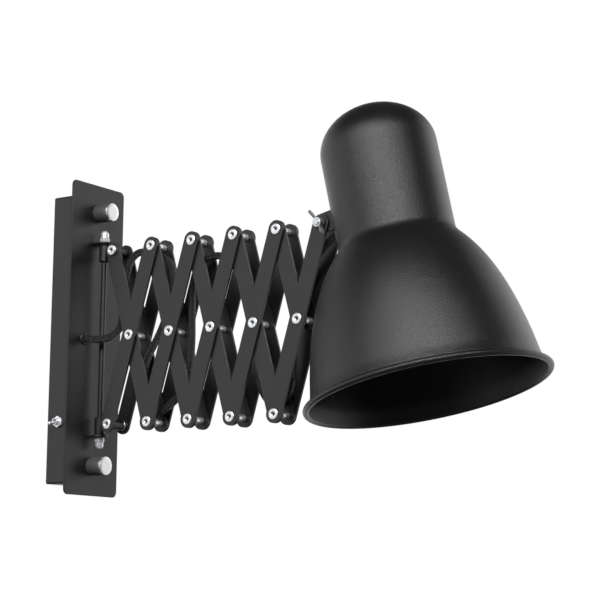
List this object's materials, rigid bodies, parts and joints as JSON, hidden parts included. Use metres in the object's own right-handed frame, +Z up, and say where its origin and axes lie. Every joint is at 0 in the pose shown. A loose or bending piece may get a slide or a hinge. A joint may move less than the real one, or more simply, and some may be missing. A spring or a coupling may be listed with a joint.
{
  "type": "accordion wall lamp",
  "caption": "Wall lamp with a box and face plate, a double scissor arm on a vertical pivot rod, and a tilting bell shade with a cylindrical neck.",
  "frame": {"origin": "middle of the face plate, carried back to the wall plane", "axes": "+Y into the wall, +Z up, and the arm reaches out along -Y"},
  "size_m": [0.2, 0.4638, 0.3117],
  "materials": {
    "black_paint": "fine-grained matt black powder coat",
    "zinc_steel": "bright zinc plating",
    "chrome": "polished",
    "bright_steel": "bright nickel plating",
    "black_enamel": "satin black",
    "black_plastic": "matt",
    "white_plastic": "semi-gloss",
    "brass": "bright",
    "black_braid": "braided textile sleeve"
  },
  "bodies": {
    "root": {"wall_bracket": "zinc_steel", "bracket_studs": "zinc_steel", "wall_box": "black_paint", "face_plate": "black_paint", "rod_ears": "black_paint", "pivot_rod": "black_paint", "acorn_nuts": "chrome", "rod_washers": "black_plastic", "cap_nuts": "black_enamel", "cap_faces": "chrome", "cable_grommet": "black_plastic", "terminal_block": "white_plastic", "terminal_screws": "brass", "switch_body": "black_plastic", "switch_bush": "chrome", "switch_nut": "chrome", "cable": "black_braid"},
    "switch": {"switch_lever": "chrome"},
    "lower_swivel": {"lower_sleeve": "black_paint", "bottom_rivet": "bright_steel"},
    "upper_slider": {"upper_sleeve": "black_paint", "top_rivet": "bright_steel"},
    "rise_0": {"rise_front_0": "black_paint", "rise_rear_0": "black_paint"},
    "fall_0": {"fall_front_0": "black_paint", "fall_rear_0": "black_paint", "fall_pins_0": "bright_steel"},
    "rise_1": {"rise_front_1": "black_paint", "rise_rear_1": "black_paint"},
    "fall_1": {"fall_front_1": "black_paint", "fall_rear_1": "black_paint", "fall_pins_1": "bright_steel"},
    "rise_2": {"rise_front_2": "black_paint", "rise_rear_2": "black_paint"},
    "fall_2": {"fall_front_2": "black_paint", "fall_rear_2": "black_paint", "fall_pins_2": "bright_steel"},
    "rise_3": {"rise_front_3": "black_paint", "rise_rear_3": "black_paint"},
    "fall_3": {"fall_front_3": "black_paint", "fall_rear_3": "black_paint", "fall_pins_3": "bright_steel"},
    "rise_4": {"rise_front_4": "black_paint", "rise_rear_4": "black_paint"},
    "fall_4": {"fall_front_4": "black_paint", "fall_rear_4": "black_paint", "fall_pins_4": "bright_steel"},
    "head": {"shade": "black_paint", "head_bracket": "black_paint", "tilt_bolt": "zinc_steel", "tilt_washers": "black_plastic", "holder_strap": "zinc_steel", "holder_body": "white_plastic", "holder_thread": "brass", "holder_nipple": "zinc_steel", "head_screws": "zinc_steel", "cable_bush": "black_plastic"},
    "wing": {"wing_nut": "zinc_steel"}
  },
  "joints": [
    {"name": "arm_swivel", "type": "hinge", "parent": "root", "child": "lower_swivel", "pos_m": [0, -0.03, -0.07834], "axis": [0, 0, 1], "range_deg": [-60, 60], "deforming": ["cable"]},
    {"name": "arm_extend", "type": "hinge", "parent": "lower_swivel", "child": "rise_0", "pos_m": [0, -0.0478, -0.07834], "axis": [1, 0, 0], "range_deg": [0, 30], "deforming": ["cable"]},
    {"name": "fall_0_pivot", "type": "hinge", "parent": "rise_0", "child": "fall_0", "pos_m": [0, -0.07012, -0.001], "axis": [1, 0, 0], "range_deg": [-60, 0]},
    {"name": "upper_pivot", "type": "hinge", "parent": "fall_0", "child": "upper_slider", "pos_m": [0, -0.0478, 0.07634], "axis": [1, 0, 0], "range_deg": [0, 30]},
    {"name": "fall_1_pivot", "type": "hinge", "parent": "rise_0", "child": "fall_1", "pos_m": [0, -0.09245, 0.07634], "axis": [1, 0, 0], "range_deg": [-60, 0]},
    {"name": "rise_1_pivot", "type": "hinge", "parent": "fall_1", "child": "rise_1", "pos_m": [0, -0.11477, -0.001], "axis": [1, 0, 0], "range_deg": [0, 60]},
    {"name": "fall_2_pivot", "type": "hinge", "parent": "rise_1", "child": "fall_2", "pos_m": [0, -0.1371, 0.07634], "axis": [1, 0, 0], "range_deg": [-60, 0]},
    {"name": "rise_2_pivot", "type": "hinge", "parent": "fall_2", "child": "rise_2", "pos_m": [0, -0.15942, -0.001], "axis": [1, 0, 0], "range_deg": [0, 60]},
    {"name": "fall_3_pivot", "type": "hinge", "parent": "rise_2", "child": "fall_3", "pos_m": [0, -0.18174, 0.07634], "axis": [1, 0, 0], "range_deg": [-60, 0]},
    {"name": "rise_3_pivot", "type": "hinge", "parent": "fall_3", "child": "rise_3", "pos_m": [0, -0.20407, -0.001], "axis": [1, 0, 0], "range_deg": [0, 60]},
    {"name": "rise_4_pivot", "type": "hinge", "parent": "fall_3", "child": "rise_4", "pos_m": [0, -0.22639, -0.07834], "axis": [1, 0, 0], "range_deg": [0, 60]},
    {"name": "fall_4_pivot", "type": "hinge", "parent": "rise_4", "child": "fall_4", "pos_m": [0, -0.24871, -0.001], "axis": [1, 0, 0], "range_deg": [-60, 0]},
    {"name": "head_tilt", "type": "hinge", "parent": "rise_4", "child": "head", "pos_m": [0, -0.27104, 0.07634], "axis": [-1, 0, 0], "range_deg": [-10, 70], "deforming": ["cable"]},
    {"name": "wing_turn", "type": "hinge", "parent": "head", "child": "wing", "pos_m": [0, -0.27104, 0.07634], "axis": [1, 0, 0], "range_deg": [-170, 170]},
    {"name": "switch_toggle", "type": "hinge", "parent": "root", "child": "switch", "pos_m": [-0.0364, -0.0125, -0.077], "axis": [0, 1, 0], "range_deg": [0, 24]}
  ],
  "couplings": [
    {"joint": "fall_0_pivot", "follows": "arm_extend", "ratio": -2},
    {"joint": "upper_pivot", "follows": "arm_extend", "ratio": 1},
    {"joint": "fall_1_pivot", "follows": "arm_extend", "ratio": -2},
    {"joint": "rise_1_pivot", "follows": "arm_extend", "ratio": 2},
    {"joint": "fall_2_pivot", "follows": "arm_extend", "ratio": -2},
    {"joint": "rise_2_pivot", "follows": "arm_extend", "ratio": 2},
    {"joint": "fall_3_pivot", "follows": "arm_extend", "ratio": -2},
    {"joint": "rise_3_pivot", "follows": "arm_extend", "ratio": 2},
    {"joint": "rise_4_pivot", "follows": "arm_extend", "ratio": 2},
    {"joint": "fall_4_pivot", "follows": "arm_extend", "ratio": -2}
  ]
}
